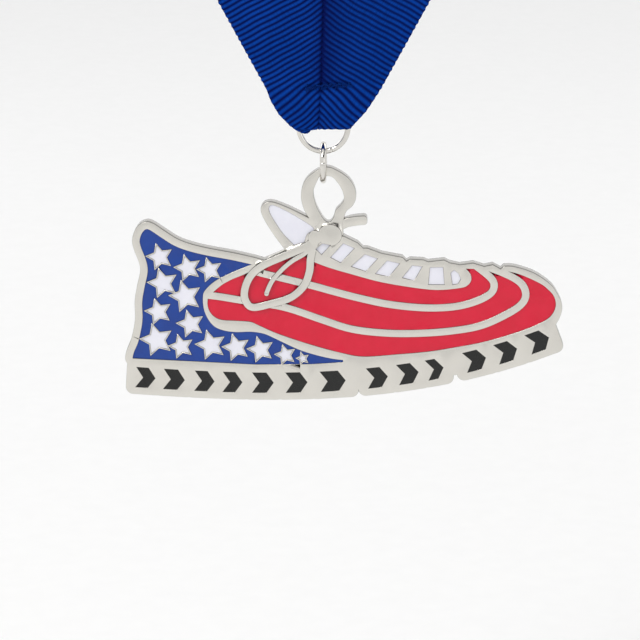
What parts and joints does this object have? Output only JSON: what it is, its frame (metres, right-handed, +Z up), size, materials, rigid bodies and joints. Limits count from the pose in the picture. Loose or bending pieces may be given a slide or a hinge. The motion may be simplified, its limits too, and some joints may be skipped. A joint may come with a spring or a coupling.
{
  "type": "finisher medal",
  "caption": "Struck running-shoe medal with soft enamel fills, hung from a blue grosgrain neck ribbon by linked jump rings.",
  "frame": {"origin": "the hanging point, on top of the folded ribbon and above the middle of the medal's rings", "axes": "+Z up, -Y out of the medal's face, +X towards the shoe's toe; hanging at rest"},
  "size_m": [0.0913, 0.011, 0.115],
  "materials": {
    "nickel_plate": "bright nickel plate on die-struck zinc alloy, satin back",
    "blue_enamel": "soft enamel, glossy",
    "red_enamel": "soft enamel, glossy",
    "white_enamel": "soft enamel, glossy",
    "black_enamel": "soft enamel, glossy",
    "ring_wire": "polished nickel-plated wire",
    "blue_grosgrain": "ribbed grosgrain weave",
    "blue_thread": "twisted sewing thread",
    "blue_elastic": "woven elastic band"
  },
  "bodies": {
    "neck_ribbon": {"ribbon": "blue_grosgrain", "bar_tack": "blue_thread", "fold_band": "blue_elastic"},
    "large_ring": {"large_jump_ring": "ring_wire"},
    "small_ring": {"small_jump_ring": "ring_wire"},
    "medal": {"medal_plate": "nickel_plate", "blue_enamel": "blue_enamel", "star_1": "white_enamel", "star_2": "white_enamel", "star_3": "white_enamel", "star_4": "white_enamel", "star_5": "white_enamel", "star_6": "white_enamel", "star_7": "white_enamel", "star_8": "white_enamel", "star_9": "white_enamel", "star_10": "white_enamel", "star_11": "white_enamel", "star_12": "white_enamel", "star_13": "white_enamel", "star_14": "white_enamel", "red_toe_band": "red_enamel", "red_middle_band": "red_enamel", "red_collar_band": "red_enamel", "red_heel": "red_enamel", "red_bow_left": "red_enamel", "red_bow_right": "red_enamel", "red_bow_lower": "red_enamel", "tongue_enamel": "white_enamel", "lace_window_1": "white_enamel", "lace_window_2": "white_enamel", "lace_window_3": "white_enamel", "lace_window_4": "white_enamel", "lace_window_5": "white_enamel", "lace_window_6": "white_enamel", "lace_window_7": "white_enamel", "caption_mark_1": "black_enamel", "caption_mark_2": "black_enamel", "caption_mark_3": "black_enamel", "caption_mark_4": "black_enamel", "caption_mark_5": "black_enamel", "caption_mark_6": "black_enamel", "caption_mark_7": "black_enamel", "caption_mark_8": "black_enamel", "caption_mark_9": "black_enamel", "caption_mark_10": "black_enamel", "caption_mark_11": "black_enamel", "caption_mark_12": "black_enamel", "caption_mark_13": "black_enamel"}
  },
  "joints": [
    {"name": "large_ring_turn", "type": "hinge", "parent": "neck_ribbon", "child": "large_ring", "pos_m": [0, 0, -0.057], "axis": [0, 1, 0], "range_deg": [-30, 30]},
    {"name": "small_ring_swing", "type": "hinge", "parent": "large_ring", "child": "small_ring", "pos_m": [0, 0, -0.06202], "axis": [1, 0, 0], "range_deg": [-60, 60]},
    {"name": "medal_swing", "type": "hinge", "parent": "small_ring", "child": "medal", "pos_m": [0, 0, -0.06813], "axis": [0, 1, 0], "range_deg": [-25, 25]}
  ]
}
